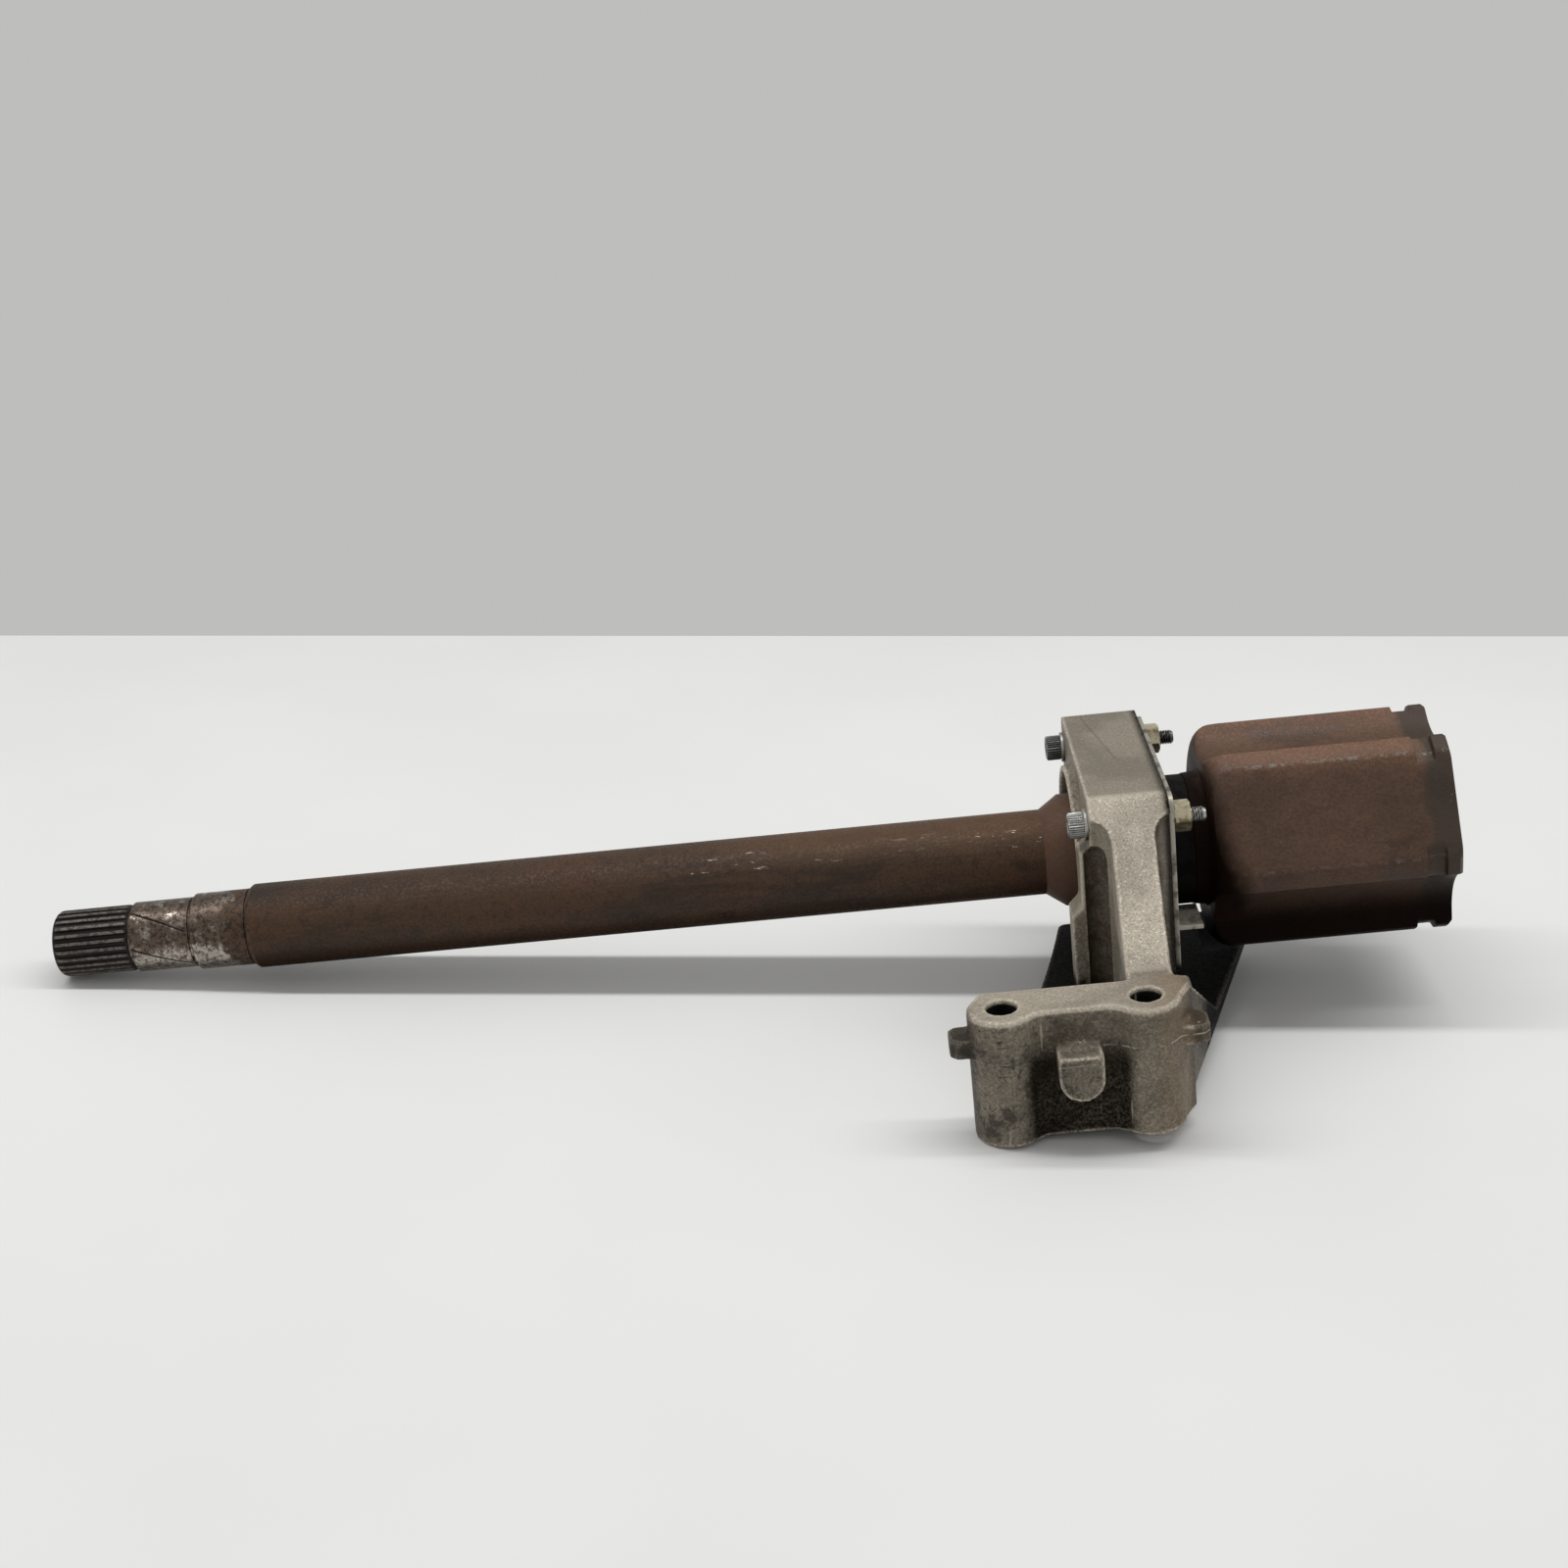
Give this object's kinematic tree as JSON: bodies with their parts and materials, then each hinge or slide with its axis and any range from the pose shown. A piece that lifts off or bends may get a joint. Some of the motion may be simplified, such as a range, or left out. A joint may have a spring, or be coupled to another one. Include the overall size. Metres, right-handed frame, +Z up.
{
  "type": "intermediate drive shaft",
  "caption": "Drive shaft with a splined gearbox end, a bolted support bearing bracket and an open three-lobed tripod joint housing.",
  "frame": {"origin": "centre of the shaft's end face at the gearbox spline, on the shaft axis", "axes": "+X along the shaft axis from the spline to the open end of the tripod housing, +Z up and square to the bracket's foot, +Y away from the foot"},
  "size_m": [0.548, 0.1907, 0.0909],
  "materials": {
    "ground_steel": "ground, stained by rust",
    "rusted_bar": "rough rolled bar, even dark rust",
    "rusted_forging": "forged, reddish-brown rust",
    "spring_steel": "oiled black",
    "dust_ring_steel": "dark, lightly rusted",
    "sheet_steel": "pressed sheet, dull",
    "bearing_steel": "ground bright",
    "cage_brass": "machined",
    "seal_rubber": "matt moulded",
    "cast_aluminium": "as cast, dirty, machined at the seats",
    "plate_steel": "zinc plated, dulled",
    "screw_steel": "blued, knurled head",
    "washer_steel": "zinc plated",
    "yellow_zinc": "yellow zinc plated"
  },
  "bodies": {
    "bracket": {"bearing_bracket": "cast_aluminium", "retaining_plate": "plate_steel", "bearing_outer_ring": "bearing_steel", "bearing_seal_left": "seal_rubber", "bearing_seal_right": "seal_rubber", "clamp_screw_rear": "screw_steel", "clamp_screw_front": "screw_steel", "clamp_washer_rear": "washer_steel", "clamp_washer_front": "washer_steel", "clamp_nut_rear": "yellow_zinc", "clamp_nut_front": "yellow_zinc"},
    "shaft": {"splined_stub": "ground_steel", "shaft_bar": "rusted_bar", "tripod_housing": "rusted_forging", "snap_ring": "spring_steel", "neck_dust_ring": "dust_ring_steel", "stem_deflector": "sheet_steel", "bearing_inner_ring": "bearing_steel"},
    "cage": {"bearing_cage": "cage_brass", "bearing_balls": "bearing_steel"}
  },
  "joints": [
    {"name": "shaft_spin", "type": "hinge", "parent": "bracket", "child": "shaft", "pos_m": [0.4325, 0, 0], "axis": [1, 0, 0], "continuous": true},
    {"name": "cage_spin", "type": "hinge", "parent": "bracket", "child": "cage", "pos_m": [0.4325, 0, 0], "axis": [1, 0, 0], "continuous": true}
  ],
  "couplings": [
    {"joint": "cage_spin", "follows": "shaft_spin", "ratio": 0.4398}
  ]
}
